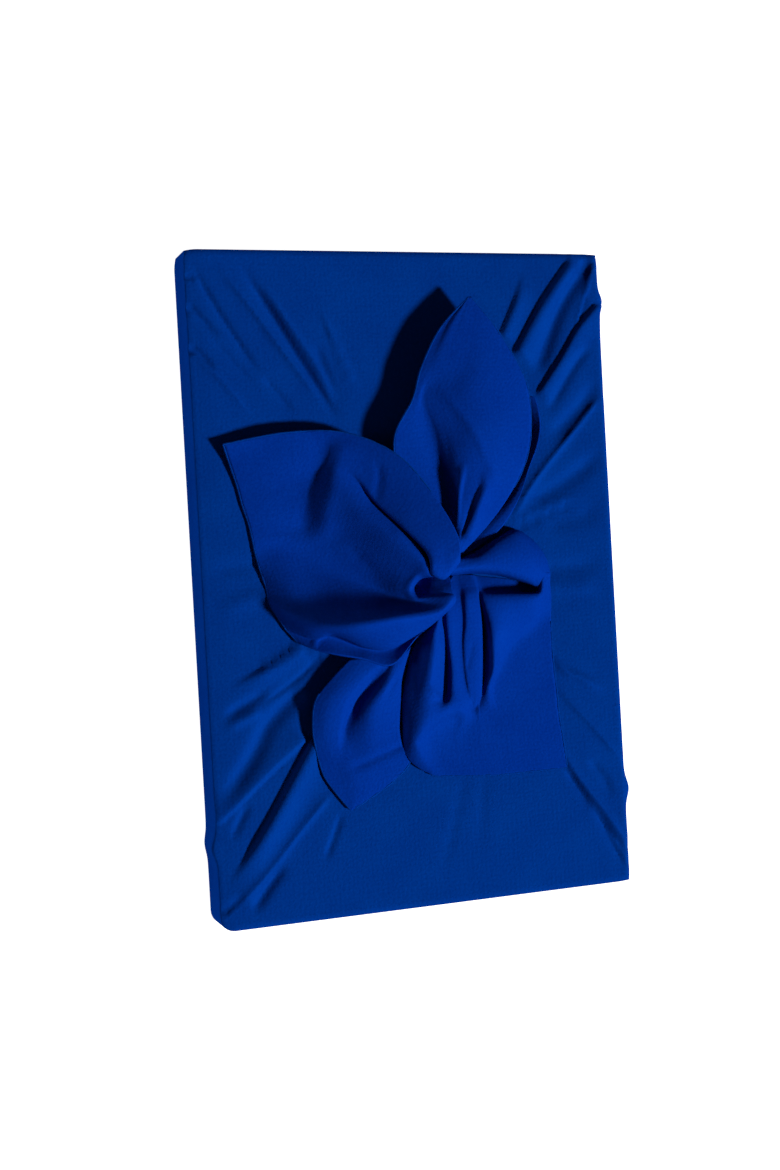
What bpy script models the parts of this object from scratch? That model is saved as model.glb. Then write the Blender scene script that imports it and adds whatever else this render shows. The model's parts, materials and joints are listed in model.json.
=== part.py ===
import math

import bmesh
import bpy
from mathutils import Vector

# Furoshiki wrap: a square cloth folded over a flat box and tied on its face.
# It lies on its back: +X to the right of the face, +Y to its top, +Z out of the face.
# Sizes are in millimetres and are scaled once, where a mesh is made.
MM = 0.001

# Whole wrapped box, outside the cloth
WRAP_WIDTH = 218.0
WRAP_LENGTH = 326.0
WRAP_DEPTH = 24.0
CORNER_RADIUS = 3.5
CORNER_STEPS = 3
EDGE_RADIUS = 2.5

# Cloth as built, and the slack of the layers on the face over the lid
SHEET = 1.5
GAP = 0.3
FACE_SLACK = 2.1

# Grid of the wrap: points along the short and long sides, rings from the tie to the edge
POINTS_SHORT = 22
POINTS_LONG = 32
CORNER_CROWDING = 0.4
RING_COUNT = 12
RING_SPREAD = 0.85

# Parting of the flaps under the tie, which leaves the wrap open inside
MOUTH_CENTRE = (3.0, 7.0)
MOUTH_RADIUS = 12.0
GATHER_RISE = 9.0
GATHER_REACH = 22.0

# The tie: a lump of folded band, over the middle of the face
KNOT_CENTRE = (1.0, -2.0, 14.0)
KNOT_SIZE = (12.5, 11.5, 12.0)
KNOT_PLEATS = 7
KNOT_PLEAT_DEPTH = 0.07

# Folds of the face: outer end, inner end, height (minus is a valley), half width
FACE_FOLDS = (
    # x_out, y_out, x_in, y_in, height, half_width
    (-107, 151, -76, 98, -1.7, 4.0),
    (-95, 152, -42, 79, 2.2, 4.5),
    (-82, 150, -42, 82, -1.5, 3.5),
    (-73, 140, -32, 73, 2.0, 4.0),
    (-44, 124, -27, 84, 1.2, 4.0),
    (-110, 134, -92, 112, -1.5, 4.5),
    (-108, 110, -80, 71, 1.4, 5.0),
    (63, 154, 49, 114, -1.8, 5.0),
    (76, 156, 54, 112, 1.3, 4.5),
    (92, 160, 53, 104, -2.0, 5.0),
    (98, 152, 66, 104, 1.4, 4.5),
    (105, 158, 74, 112, -1.4, 4.5),
    (106, 118, 62, 78, 1.3, 6.0),
    (104, 97, 62, 60, -1.6, 7.0),
    (108, 72, 62, 46, 1.1, 7.0),
    (108, 52, 60, 36, -1.0, 7.0),
    (108, 32, 58, 22, 1.3, 7.0),
    (-106, -46, -62, -24, -1.8, 5.5),
    (-96, -60, -54, -33, 1.3, 5.0),
    (-105, -100, -64, -50, -1.5, 8.0),
    (-108, -138, -62, -74, -2.0, 6.5),
    (-107, -152, -74, -112, 1.8, 6.0),
    (-92, -154, -66, -118, -1.4, 6.5),
    (-43, -130, -30, -102, -1.0, 5.0),
    (109, -56, 66, -45, 1.0, 6.0),
    (110, -99, 70, -61, 1.6, 5.0),
    (109, -143, 76, -103, 1.8, 5.0),
    (107, -160, 86, -124, -1.6, 4.5),
)

# Hem lines of the side flaps, where the face drops by a layer on the far side
FLAP_STEPS = (
    # x_out, y_out, x_in, y_in, drop, run
    (111, 140, 60, 82, -1.3, 3.0),
    (-115, -112, -56, -64, 1.3, 3.0),
    (111, -112, 66, -58, -1.0, 4.0),
)

# How softly folds begin and end, in shares of their length, and how far
# a hem's step is felt to each side of its line
FOLD_BEGIN = 0.12
FOLD_END = 0.25
STEP_BEGIN = 0.3
STEP_END = 0.2
STEP_REACH = 22.0

# The rounded edge of the face, row by row: out and down in edge radii, and
# the shares that it keeps of the face's relief and of the side's bulge
EDGE_ROWS = (
    # out, down, relief, bulge
    (0.7, 0.3, 0.6, 0.6),
    (1.0, 1.4, 0.0, 1.0),
)

# Small bulges where those hems turn over the box's long edges
EDGE_BULGES = (
    # side, y, half_length, height
    (1, 138, 6.0, 1.4),
    (-1, -117, 7.0, 1.8),
    (1, -114, 7.0, 1.4),
)

# The four free ends, a row for each section from the knot to the hem.
# Every section gives its two edges and its middle; heights are above the face.
UPPER_END = (
    # left x, y, h, middle x, y, h, right x, y, h
    (-3, 1, 18, 1, 1, 20, 6, 2, 19),
    (-9, 18, 18, 4, 20, 22, 13, 17, 23),
    (-15, 36, 18, 12, 38, 21, 34, 31, 21),
    (-19, 57, 17, 18, 60, 17, 55, 54, 20),
    (-15, 78, 25, 21, 82, 16, 57, 78, 23),
    (-3, 103, 24, 23, 104, 16, 46, 102, 21),
    (11, 122, 20, 24, 122, 17, 33, 121, 18),
    (22, 133, 18, 24, 134, 18, 26, 133, 18),
)
LEFT_END = (
    (7, 11, 25, 5, 0, 23, 7, -9, 17),
    (-1, 27, 30, -13, 4, 24, -7, -22, 18),
    (-15, 53, 24, -30, 9, 17, -25, -38, 15),
    (-38, 70, 9, -48, 14, 10, -43, -35, 11),
    (-64, 71, 7, -67, 19, 6, -59, -30, 6),
    (-97, 66, 7, -85, 20, 4.5, -68, -26, 4.5),
)
RIGHT_END = (
    (-2, -7, 15, 3, -6, 16, 7, -1, 17),
    (-9, -28, 10, 12, -22, 12, 34, 12, 15),
    (-13, -43, 8, 20, -38, 9, 60, 12, 9),
    (-15, -58, 6, 25, -56, 6, 69, -12, 5),
    (-13, -79, 4, 28, -77, 4, 70, -60, 3.5),
    (-8, -94, 3.5, 30, -98, 3.5, 72, -99, 3.5),
)
DOWN_END = (
    (-5, -6, 11, -3, -8, 11, 0, -9, 10),
    (-29, -27, 7, -20, -29, 8, -12, -31, 6),
    (-47, -39, 6, -31, -44, 6, -19, -46, 4),
    (-61, -52, 10, -40, -58, 6, -20, -60, 4),
    (-65, -70, 12, -42, -74, 6, -20, -76, 3.5),
    (-61, -85, 9, -42, -88, 5, -20, -90, 4),
    (-52, -99, 5, -41, -99, 4.5, -31, -101, 4.5),
    (-46, -107, 4, -44, -107, 4, -42, -107, 4),
)

# Pleats of the ends: where they start and stop along the end (0 knot, 1 hem),
# where they lie across it (0 left, 1 right), height and half width across
UPPER_PLEATS = (
    # from, to, across_from, across_to, height, half_width
    (0.05, 0.62, 0.42, 0.34, -4.0, 0.10),
    (0.05, 0.55, 0.62, 0.60, 2.5, 0.09),
    (0.05, 0.45, 0.78, 0.72, -2.5, 0.08),
)
LEFT_PLEATS = (
    (0.10, 0.75, 0.30, 0.22, -4.0, 0.10),
    (0.10, 0.70, 0.45, 0.42, 3.0, 0.12),
    (0.15, 0.85, 0.72, 0.70, -2.0, 0.14),
)
RIGHT_PLEATS = (
    (0.08, 0.70, 0.28, 0.16, 2.4, 0.09),
    (0.08, 0.60, 0.50, 0.42, 2.0, 0.08),
    (0.08, 0.55, 0.70, 0.72, -2.5, 0.10),
    (0.08, 0.50, 0.88, 0.86, 3.0, 0.08),
)
DOWN_PLEATS = (
    (0.10, 0.62, 0.45, 0.50, -2.0, 0.14),
    (0.66, 0.90, 0.30, 0.70, 1.0, 0.12),
)

CLOTH_COLOUR = (0.0004, 0.022, 0.19, 1.0)
CARD_COLOUR = (0.42, 0.36, 0.28, 1.0)


def smooth(value):
    """Ease from 0 to 1, flat at both ends."""
    value = min(max(value, 0.0), 1.0)
    return value * value * (3.0 - 2.0 * value)


def along_line(x, y, line):
    """Share of the way along a line, and the signed distance to its left."""
    x_out, y_out, x_in, y_in = line
    run = Vector((x_in - x_out, y_in - y_out))
    offset = Vector((x - x_out, y - y_out))
    share = offset.dot(run) / run.length_squared
    return share, run.normalized().cross(offset)


def face_relief(x, y):
    """Height of the cloth over the flat face at a point of it."""
    height = 0.0
    for *line, rise, half_width in FACE_FOLDS:
        share, aside = along_line(x, y, line)
        begin = smooth((share + FOLD_BEGIN) / (2 * FOLD_BEGIN))
        fade = begin * smooth((1.0 + FOLD_END - share) / (2 * FOLD_END))
        height += rise * fade * math.exp(-((aside / half_width) ** 2))
    for *line, drop, run in FLAP_STEPS:
        share, aside = along_line(x, y, line)
        begin = smooth((share + STEP_BEGIN) / STEP_BEGIN)
        fade = begin * smooth((1.0 + STEP_END - share) / (2 * STEP_END))
        side = smooth(0.5 + aside / (2.0 * run))
        reach = math.exp(-((aside / STEP_REACH) ** 2))
        height += drop * fade * (side - 0.5) * reach
    distance = math.hypot(x - KNOT_CENTRE[0], y - KNOT_CENTRE[1])
    height += GATHER_RISE * math.exp(-((distance / GATHER_REACH) ** 2))
    return max(height, -FACE_SLACK)


def rounded_outline(half_x, half_y, radius):
    """Points around a rectangle with round corners, crowded towards them."""
    points = []
    corners = ((1, -1, -90), (1, 1, 0), (-1, 1, 90), (-1, -1, 180))
    counts = (POINTS_LONG, POINTS_SHORT, POINTS_LONG, POINTS_SHORT)
    for index, (sign_x, sign_y, start) in enumerate(corners):
        centre = Vector((sign_x * (half_x - radius), sign_y * (half_y - radius)))
        for step in range(CORNER_STEPS):
            angle = math.radians(start + 90.0 * step / (CORNER_STEPS - 1))
            points.append(centre + radius * Vector((math.cos(angle), math.sin(angle))))
        next_x, next_y, next_start = corners[(index + 1) % 4]
        begin = points[-1]
        angle = math.radians(next_start)
        end = Vector((next_x * (half_x - radius), next_y * (half_y - radius)))
        end += radius * Vector((math.cos(angle), math.sin(angle)))
        count = counts[index]
        for step in range(1, count):
            share = step / count
            share -= CORNER_CROWDING * math.sin(2.0 * math.pi * share) / (2.0 * math.pi)
            points.append(begin.lerp(end, share))
    return points


def bulge(point, push_share):
    """Outward push of the box's side where a flap's hem turns over it."""
    push = 0.0
    for side, y, half_length, height in EDGE_BULGES:
        if side * point.x > WRAP_WIDTH / 2 - CORNER_RADIUS:
            push += side * height * math.exp(-(((point.y - y) / half_length) ** 2))
    return Vector((point.x + push * push_share, point.y))


def new_mesh_object(name, bm):
    """Scale a mesh from millimetres and put it in the scene."""
    bmesh.ops.scale(bm, vec=(MM, MM, MM), verts=bm.verts)
    bmesh.ops.recalc_face_normals(bm, faces=bm.faces)
    mesh = bpy.data.meshes.new(name)
    bm.to_mesh(mesh)
    bm.free()
    obj = bpy.data.objects.new(name, mesh)
    bpy.context.scene.collection.objects.link(obj)
    return obj


def join_rings(bm, rings):
    """Quads between neighbouring closed rings of points."""
    for lower, upper in zip(rings, rings[1:]):
        count = len(lower)
        for i in range(count):
            j = (i + 1) % count
            bm.faces.new((lower[i], lower[j], upper[j], upper[i]))


def make_wrap():
    """The cloth around the box: a thin shell with the folds of the face."""
    bm = bmesh.new()
    half_x, half_y = WRAP_WIDTH / 2, WRAP_LENGTH / 2
    face_rim = rounded_outline(half_x - EDGE_RADIUS, half_y - EDGE_RADIUS, CORNER_RADIUS)
    side_rim = rounded_outline(half_x, half_y, CORNER_RADIUS + EDGE_RADIUS)
    inner_rim = rounded_outline(half_x - SHEET, half_y - SHEET, CORNER_RADIUS)

    def face_rings(inset):
        rings = []
        for index in range(RING_COUNT):
            share = (index / (RING_COUNT - 1)) ** (1.0 / RING_SPREAD)
            ring = []
            for rim in face_rim:
                out = (rim - Vector(MOUTH_CENTRE)).normalized()
                start = Vector(MOUTH_CENTRE) + out * MOUTH_RADIUS
                place = start.lerp(rim, share)
                relief = face_relief(place.x, place.y)
                ring.append(bm.verts.new((place.x, place.y, WRAP_DEPTH + relief - inset)))
            rings.append(ring)
        return rings

    def edge_ring(out, down, relief_share, bulge_share):
        ring = []
        for face_point, side_point in zip(face_rim, side_rim):
            place = bulge(face_point.lerp(side_point, out), bulge_share)
            relief = face_relief(face_point.x, face_point.y) * relief_share
            ring.append(bm.verts.new((*place, WRAP_DEPTH - down * EDGE_RADIUS + relief)))
        return ring

    def level_ring(rim, z, bulge_share):
        return [bm.verts.new((*bulge(point, bulge_share), z)) for point in rim]

    outer = face_rings(0.0)
    for row in EDGE_ROWS:
        outer.append(edge_ring(*row))
    outer.append(level_ring(side_rim, EDGE_RADIUS, 0.5))
    outer.append(level_ring(face_rim, 0.0, 0.0))
    inner = face_rings(SHEET)
    inner.append(level_ring(inner_rim, WRAP_DEPTH - FACE_SLACK - SHEET - GAP, 0.8))
    inner.append(level_ring(inner_rim, SHEET, 0.0))
    join_rings(bm, outer)
    join_rings(bm, inner)
    join_rings(bm, [outer[0], inner[0]])
    bm.faces.new(outer[-1])
    bm.faces.new(inner[-1])
    return new_mesh_object("cloth", bm)


def spline(values, place):
    """Smooth curve through evenly spaced values, read at a place from 0 to 1."""
    position = place * (len(values) - 1)
    index = min(int(position), len(values) - 2)
    t = position - index
    before = values[max(index - 1, 0)]
    start, end = values[index], values[index + 1]
    after = values[min(index + 2, len(values) - 1)]
    slope_in, slope_out = (end - before) / 2, (after - start) / 2
    return (
        start * (2 * t**3 - 3 * t**2 + 1)
        + slope_in * (t**3 - 2 * t**2 + t)
        + end * (3 * t**2 - 2 * t**3)
        + slope_out * (t**3 - t**2)
    )


def end_point(rows, pleats, along, across):
    """Point of a free end's middle surface."""
    section = []
    for column in range(3):
        values = [Vector(row[3 * column : 3 * column + 3]) for row in rows]
        section.append(spline(values, along))
    left, middle, right = section
    point = (
        left * (1 - across) * (1 - 2 * across)
        + middle * 4 * across * (1 - across)
        + right * across * (2 * across - 1)
    )
    for start, stop, across_from, across_to, height, half_width in pleats:
        share = (along - start) / (stop - start)
        centre = across_from + (across_to - across_from) * share
        fade = smooth(share / 0.3) * smooth((1.0 - share) / 0.5)
        point.z += height * fade * math.exp(-(((across - centre) / half_width) ** 2))
    return point + Vector((0, 0, WRAP_DEPTH))


def make_end(name, rows, pleats, steps_along, steps_across):
    """A free end of the cloth: a thin closed sheet through its sections."""
    grid = []
    for i in range(steps_along + 1):
        along = i / steps_along
        grid.append([end_point(rows, pleats, along, j / steps_across) for j in range(steps_across + 1)])
    bm = bmesh.new()
    layers = []
    for side in (-0.5, 0.5):
        layer = []
        for i in range(steps_along + 1):
            line = []
            for j in range(steps_across + 1):
                ahead = grid[min(i + 1, steps_along)][j] - grid[max(i - 1, 0)][j]
                aside = grid[i][min(j + 1, steps_across)] - grid[i][max(j - 1, 0)]
                normal = aside.cross(ahead).normalized()
                line.append(bm.verts.new(grid[i][j] + normal * side * SHEET))
            layer.append(line)
        layers.append(layer)
    for layer in layers:
        for i in range(steps_along):
            for j in range(steps_across):
                corners = (layer[i][j], layer[i + 1][j], layer[i + 1][j + 1], layer[i][j + 1])
                bm.faces.new(corners)
    lower, upper = layers
    for i in range(steps_along):
        for j in (0, steps_across):
            bm.faces.new((lower[i][j], upper[i][j], upper[i + 1][j], lower[i + 1][j]))
    for j in range(steps_across):
        for i in (0, steps_along):
            bm.faces.new((lower[i][j], upper[i][j], upper[i][j + 1], lower[i][j + 1]))
    return new_mesh_object(name, bm)


def make_knot():
    """The tied lump: a pleated ball of gathered cloth."""
    bm = bmesh.new()
    bmesh.ops.create_uvsphere(bm, u_segments=24, v_segments=12, radius=1.0)
    for vert in bm.verts:
        angle = math.atan2(vert.co.y, vert.co.x)
        ring = math.hypot(vert.co.x, vert.co.y)
        pleat = 1.0 + KNOT_PLEAT_DEPTH * ring * math.cos(KNOT_PLEATS * angle + 2.0 * vert.co.z)
        place = [c * size * pleat + centre for c, size, centre in zip(vert.co, KNOT_SIZE, KNOT_CENTRE)]
        vert.co = Vector(place) + Vector((0, 0, WRAP_DEPTH))
    return new_mesh_object("knot_lump", bm)


def fuse(target, helper):
    """Join a helper solid to the cloth with a union."""
    helper.hide_render = True
    helper.display_type = "WIRE"
    modifier = target.modifiers.new("join_" + helper.name, "BOOLEAN")
    modifier.operation = "UNION"
    modifier.solver = "EXACT"
    modifier.object = helper


def make_box():
    """The flat box that the cloth holds, plain."""
    low_z = SHEET + GAP
    high_z = WRAP_DEPTH - FACE_SLACK - SHEET - GAP
    size_x = WRAP_WIDTH - 2 * (SHEET + GAP)
    size_y = WRAP_LENGTH - 2 * (SHEET + GAP)
    bm = bmesh.new()
    bmesh.ops.create_cube(bm, size=1.0)
    size = Vector((size_x, size_y, high_z - low_z))
    centre = Vector((0, 0, (high_z + low_z) / 2))
    for vert in bm.verts:
        vert.co = vert.co * size + centre
    upright = [e for e in bm.edges if abs(e.verts[0].co.z - e.verts[1].co.z) > 1.0]
    bmesh.ops.bevel(bm, geom=upright, offset=CORNER_RADIUS, segments=3, affect="EDGES")
    return new_mesh_object("box", bm)


def add_material(obj, name, colour, roughness):
    """Give an object its own plain finish."""
    material = bpy.data.materials.new(name)
    material.use_nodes = True
    shader = material.node_tree.nodes["Principled BSDF"]
    shader.inputs["Base Color"].default_value = colour
    shader.inputs["Roughness"].default_value = roughness
    shader.inputs["Metallic"].default_value = 0.0
    obj.data.materials.append(material)


def main():
    for obj in list(bpy.data.objects):
        bpy.data.objects.remove(obj)
    cloth = make_wrap()
    fuse(cloth, make_knot())
    fuse(cloth, make_end("upper_end", UPPER_END, UPPER_PLEATS, 16, 12))
    fuse(cloth, make_end("left_end", LEFT_END, LEFT_PLEATS, 14, 14))
    fuse(cloth, make_end("right_end", RIGHT_END, RIGHT_PLEATS, 14, 14))
    fuse(cloth, make_end("down_end", DOWN_END, DOWN_PLEATS, 14, 8))
    add_material(cloth, "blue_cloth", CLOTH_COLOUR, 0.55)
    add_material(make_box(), "plain_card", CARD_COLOUR, 0.8)


main()
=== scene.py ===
import json
import math

import bpy
import numpy as np
from mathutils import Matrix, Vector

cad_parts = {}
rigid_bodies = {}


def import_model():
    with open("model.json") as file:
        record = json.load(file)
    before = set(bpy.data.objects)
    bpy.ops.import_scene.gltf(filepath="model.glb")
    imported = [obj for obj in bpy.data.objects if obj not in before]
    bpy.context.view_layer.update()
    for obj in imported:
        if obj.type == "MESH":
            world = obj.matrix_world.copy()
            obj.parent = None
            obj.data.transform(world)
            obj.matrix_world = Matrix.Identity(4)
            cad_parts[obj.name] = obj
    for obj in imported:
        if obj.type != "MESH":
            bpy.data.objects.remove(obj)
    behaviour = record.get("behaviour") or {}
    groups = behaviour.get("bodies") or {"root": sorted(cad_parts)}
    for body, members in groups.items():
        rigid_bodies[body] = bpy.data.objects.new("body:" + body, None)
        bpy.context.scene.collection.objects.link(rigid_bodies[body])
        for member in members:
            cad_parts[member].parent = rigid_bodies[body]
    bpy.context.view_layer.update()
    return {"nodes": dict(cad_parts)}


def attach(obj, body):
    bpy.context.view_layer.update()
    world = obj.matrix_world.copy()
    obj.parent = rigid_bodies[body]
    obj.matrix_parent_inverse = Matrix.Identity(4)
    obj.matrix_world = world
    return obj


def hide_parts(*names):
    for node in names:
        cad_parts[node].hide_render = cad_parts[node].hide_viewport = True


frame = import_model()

# A blue cloth folded over a flat box and tied on its face. It lies on its back:
# +X to the right of the face, +Y to its top, +Z out of it.
# Sizes are in millimetres until a mesh is made. Heights are above the flat face.
mm = 0.001
print("frame loaded:", len(frame["nodes"]), "nodes")

wrap = {
    "width": 218.0,
    "length": 326.0,
    "depth": 24.0,
    "cornerRadius": 4.5,
    "cornerShares": (1.0, 0.4, 0.2, 0.2),
    "leftBoxiness": 0.3,
    "edgeRadius": 3.0,
    "backRadius": 2.0,
    "sheet": 0.6,
    "pitch": 1.1,
    "hiddenPitch": 2.6,
    "hiddenHalf": 38.0,
    "roundSteps": 4,
    "sideSteps": 4,
    "backLoops": (0.985, 0.95, 0.8, 0.5),
    "deepest": 2.1,
    "leftDroop": 0.8,
    "leftDroopReach": 15.0,
    "cornerSteps": 4,
    "insideSteps": (12, 18),
    "weaveStep": 2.0,
}
faceZ = wrap["depth"]

# the cloth rises to the knot in fine pleats
gather = {
    "centre": (1.0, 0.0),
    "rise": 6.0,
    "reach": 18.0,
    "pleats": 17,
    "pleatTurn": 1.0,
    "pleatDepth": 0.5,
    "pleatStart": 12.0,
    "pleatReach": 36.0,
}

# A crease is a line over the plan of the cloth. soft is a round trough or ridge, sharp has a
# crisp bottom or top, step lifts the left of the line over its right, and rise starts at the
# line and climbs to its left. Left and right are seen along the line from its first point.
faceCreases = (
    # kind, height, left width, right width, fade in, fade out, line (x, y)
    # upper left corner
    ("sharp", -1.9, 1, 1.4, 0.3, 0.25, ((-106.5, 157.5), (-95, 135.5), (-82, 114), (-73.5, 101.5))),
    ("soft", -1.2, 1.2, 1.2, 0.4, 0.4, ((-110, 154.5), (-108, 150.5), (-102.5, 147.5))),
    ("soft", -1.6, 1.3, 1.6, 0.35, 0.4, ((-111, 141), (-102.5, 130), (-92, 119.5))),
    ("sharp", -1, 1, 1.1, 0.3, 0.4, ((-100.5, 122.5), (-89, 110), (-75, 94.5))),
    ("soft", -1.7, 1.3, 1.6, 0.35, 0.4, ((-112, 120), (-104, 113), (-96, 104.5))),
    ("sharp", 1.5, 1.1, 1.1, 0.3, 0.35, ((-111.5, 116.5), (-96, 102), (-79.5, 82))),
    ("sharp", 1.9, 1.1, 1.3, 0.25, 0.3, ((-95, 157), (-76.5, 133), (-60, 109.5), (-36.5, 78.5))),
    ("soft", -2.4, 1.8, 2.4, 0.3, 0.25, ((-84, 158), (-70.5, 137), (-58.5, 116.5), (-34.5, 76.5))),
    ("sharp", 1.7, 1.1, 1.2, 0.3, 0.35, ((-73, 149), (-57.5, 124), (-42.5, 100), (-33, 83))),
    ("soft", 1.2, 1.6, 1.4, 0.35, 0.35, ((-43.5, 136), (-36.5, 117.5), (-25.5, 89))),
    ("soft", -1, 2.2, 2.2, 0.3, 0.3, ((-47.5, 119.5), (-41.5, 102), (-33.5, 83))),
    ("soft", -0.9, 1.5, 1.5, 0.3, 0.3, ((-74.5, 102), (-67, 93.5), (-58.5, 83.5))),
    # upper right corner
    ("rise", 2.2, 1.2, 7, 0.5, 0.1, ((65.5, 154.5), (61, 141.5), (55.5, 130), (50, 119.5))),
    ("rise", 3.5, 1.7, 9, 0.12, 0.1, ((94, 162.5), (77, 141.5), (68.5, 129.5), (56, 109.5))),
    ("soft", -2.6, 4, 3.6, 0.1, 0.2, ((106, 160.5), (91.5, 143.5), (82.5, 128.5), (69.5, 99))),
    ("rise", 2.1, 0.5, 9, 0.05, 0.1, ((109.5, 140), (95, 125.5), (83.5, 109), (68, 89))),
    ("sharp", 1.2, 1.2, 1.2, 0.1, 0.2, ((108, 160.5), (103, 149), (94, 124.5))),
    ("sharp", -1.3, 1, 1, 0.3, 0.2, ((101.5, 143.5), (98.5, 134.5), (96, 127))),
    ("soft", -1.3, 2.6, 2.6, 0.3, 0.3, ((104, 117), (91.5, 104.5), (74.5, 79.5))),
    ("soft", -1.4, 4.6, 4.2, 0.3, 0.35, ((106, 99.5), (94, 83), (72.5, 65))),
    ("sharp", 1.7, 1.5, 1.5, 0.1, 0.1, ((106, 89), (87, 69), (68, 49), (52.5, 28.5))),
    ("soft", -1.2, 4.5, 4.5, 0.3, 0.2, ((107.5, 62), (88, 48), (59.5, 33))),
    ("sharp", 1, 1, 1, 0.2, 0.1, ((95, 37), (78.5, 35), (53, 24.5))),
    ("sharp", -1.4, 1, 1.2, 0.2, 0.1, ((93.5, 35), (79.5, 32), (53, 23))),
    ("soft", -0.9, 4.5, 4.5, 0.3, 0.3, ((104.5, 30), (86, 26.5), (67.5, 23.5))),
    # lower left corner
    ("rise", 2.8, 1.5, 7, 0.04, 0.5, ((-62.5, -26.5), (-78, -36), (-100.5, -46.5))),
    ("sharp", -1.3, 1.2, 1, 0.05, 0.4, ((-51.5, -33.5), (-64.5, -44.5), (-86, -57.5))),
    ("soft", -1.3, 2.4, 2.4, 0.3, 0.3, ((-78, -48.5), (-89, -54), (-103, -61))),
    ("soft", 1.1, 2.4, 2.4, 0.3, 0.3, ((-82.5, -57.5), (-93.5, -62.5), (-102.5, -65.5))),
    ("soft", -2, 4.2, 4.2, 0.1, 0.3, ((-61.5, -49.5), (-79, -64.5), (-88.5, -80), (-108.5, -106.5))),
    ("rise", 1.6, 0.5, 9, 0.02, 0.05, ((-113.5, -116.5), (-98, -104), (-79, -88), (-61, -74.5))),
    ("rise", 3.8, 1.4, 10, 0.05, 0.35, ((-59.5, -73), (-71.5, -92), (-84.5, -112), (-106, -142))),
    ("soft", -1, 2, 2, 0.3, 0.4, ((-91.5, -101.5), (-97.5, -111.5), (-102, -120.5))),
    ("sharp", 1.3, 1.4, 2, 0.15, 0.08, ((-49.5, -100), (-69, -119.5), (-86, -138), (-108.5, -157.5))),
    ("soft", -1.6, 2.6, 2.6, 0.3, 0.3, ((-75, -132.5), (-84.5, -143), (-94, -156))),
    ("soft", -1.2, 2.6, 2.6, 0.3, 0.3, ((-95.5, -145.5), (-104.5, -152), (-109.5, -155))),
    ("soft", -0.8, 1.6, 1.6, 0.3, 0.3, ((-45.5, -110), (-51, -123.5), (-56.5, -135.5))),
    # foot
    ("sharp", -0.7, 1, 1.2, 0.3, 0.4, ((20.5, -94.5), (12, -123.5), (2.5, -152.5))),
    ("soft", -0.45, 1.8, 1.8, 0.3, 0.4, ((30, -95), (27.5, -117.5), (24.5, -140))),
    # lower right corner
    ("soft", 1.3, 1.8, 2.4, 0.3, 0.4, ((68, -41), (77.5, -51), (85.5, -55), (101, -64.5))),
    ("sharp", 1.4, 1.3, 1.2, 0.3, 0.25, ((69.5, -57), (88.5, -77.5), (109, -102))),
    ("soft", 1.8, 2, 1.6, 0.3, 0.25, ((71, -86), (78, -101), (91.5, -120), (108.5, -144))),
    ("sharp", -1.6, 1, 1.4, 0.35, 0.3, ((87, -121.5), (96.5, -134), (109, -149.5))),
    ("sharp", -1.9, 1.1, 1.4, 0.35, 0.3, ((91.5, -127), (100.5, -145), (107.5, -157))),
    ("soft", -1.4, 1.2, 2.2, 0.35, 0.35, ((74, -99.5), (82, -112.5), (89.5, -124.5))),
    ("soft", -0.9, 2.4, 2.4, 0.3, 0.4, ((87, -97), (96, -108), (101, -120))),
    # beside the tie
    ("soft", -0.8, 3, 3.5, 0.2, 0.3, ((-73, 12), (-90, 10.5), (-106, 9.5))),
    ("soft", 1, 3.5, 3.5, 0.2, 0.4, ((-71, -1.5), (-86, -5), (-103.5, -9.5))),
    ("soft", -0.9, 3.5, 3.5, 0.2, 0.4, ((66.5, 1.5), (83, 1.5), (104.5, 3))),
    ("soft", 0.8, 3.5, 3.5, 0.2, 0.4, ((66, -7), (82.5, -8.5), (102.5, -8.5))),
)

edgeBulges = (
    # side, y, half length, height
    (1, 138.5, 4.5, 2.2),
    (-1, -122.5, 5.5, 2.4),
    (1, -114.5, 6.0, 2.4),
)

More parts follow.
